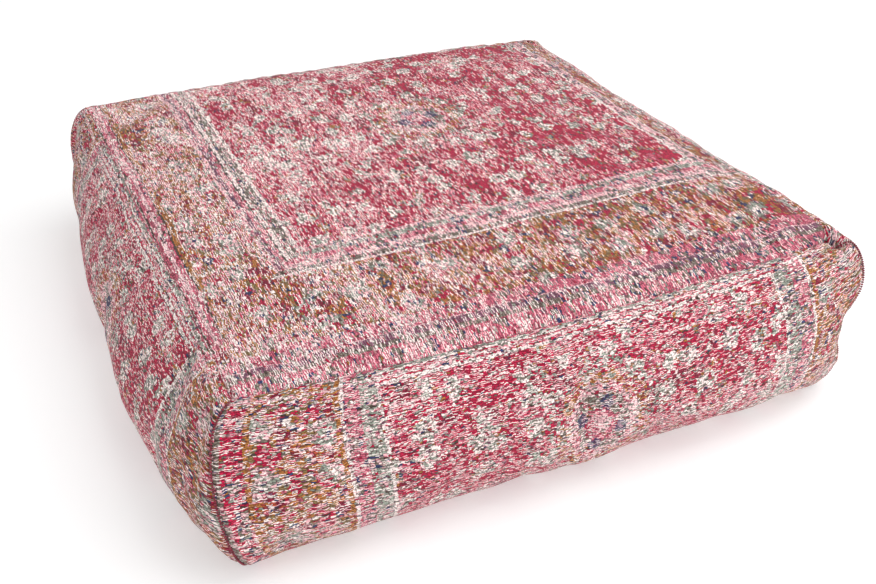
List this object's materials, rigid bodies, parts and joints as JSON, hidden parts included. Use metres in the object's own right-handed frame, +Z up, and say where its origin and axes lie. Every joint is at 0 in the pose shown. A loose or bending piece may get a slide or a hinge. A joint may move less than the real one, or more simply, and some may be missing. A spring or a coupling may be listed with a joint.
{
  "type": "square floor cushion",
  "caption": "Square box-shaped floor cushion with a woven rug-pattern cover, plain seams and a zip across the back wall, over an inner bag with soft filling.",
  "frame": {"origin": "middle of the outline, at the height of the flat base, as the cushion lies on the floor", "axes": "+X to the right of one who faces the front, +Y from the front towards the back wall with the zip, +Z up"},
  "size_m": [0.6976, 0.6973, 0.16],
  "materials": {
    "cover": "thick ribbed rug weave, faded reds, pinks, sage and ochre",
    "canvas": "plain undyed cotton canvas",
    "thread": "dark red polyester sewing thread",
    "tape": "woven polyester zip tape",
    "teeth": "moulded nylon coil",
    "metal": "dull antique brass",
    "bag": "plain undyed cotton",
    "fill": "loose white polyester fibre"
  },
  "bodies": {
    "cushion": {"top_panel": "cover", "base_panel": "canvas", "front_panel": "cover", "right_panel": "cover", "left_panel": "cover", "back_strip_upper": "cover", "back_strip_lower": "cover", "thread_top_front": "thread", "thread_base_front": "thread", "thread_top_right": "thread", "thread_base_right": "thread", "thread_top_back": "thread", "thread_base_back": "thread", "thread_top_left": "thread", "thread_base_left": "thread", "thread_corner_front_left": "thread", "thread_corner_front_right": "thread", "thread_corner_back_right": "thread", "thread_corner_back_left": "thread", "thread_back_left": "thread", "thread_back_right": "thread", "zip_tape_upper": "tape", "zip_tape_lower": "tape", "zip_teeth_upper": "teeth", "zip_teeth_lower": "teeth", "zip_stitch_upper": "thread", "zip_stitch_lower": "thread", "zip_stop_closed": "metal", "zip_stop_open": "metal", "bag_top": "bag", "bag_bottom": "bag", "bag_wall_front": "bag", "bag_wall_right": "bag", "bag_wall_back": "bag", "bag_wall_left": "bag", "filling": "fill"},
    "slider": {"zip_slider": "metal"},
    "pull": {"zip_pull": "metal"}
  },
  "joints": [
    {"name": "slider_travel", "type": "slide", "parent": "cushion", "child": "slider", "axis": [-1, 0, 0], "range_m": [0, 0.4]},
    {"name": "pull_swing", "type": "hinge", "parent": "slider", "child": "pull", "pos_m": [0.2, 0.34675, 0.069], "axis": [0, 0, -1], "range_deg": [0, 170]}
  ]
}
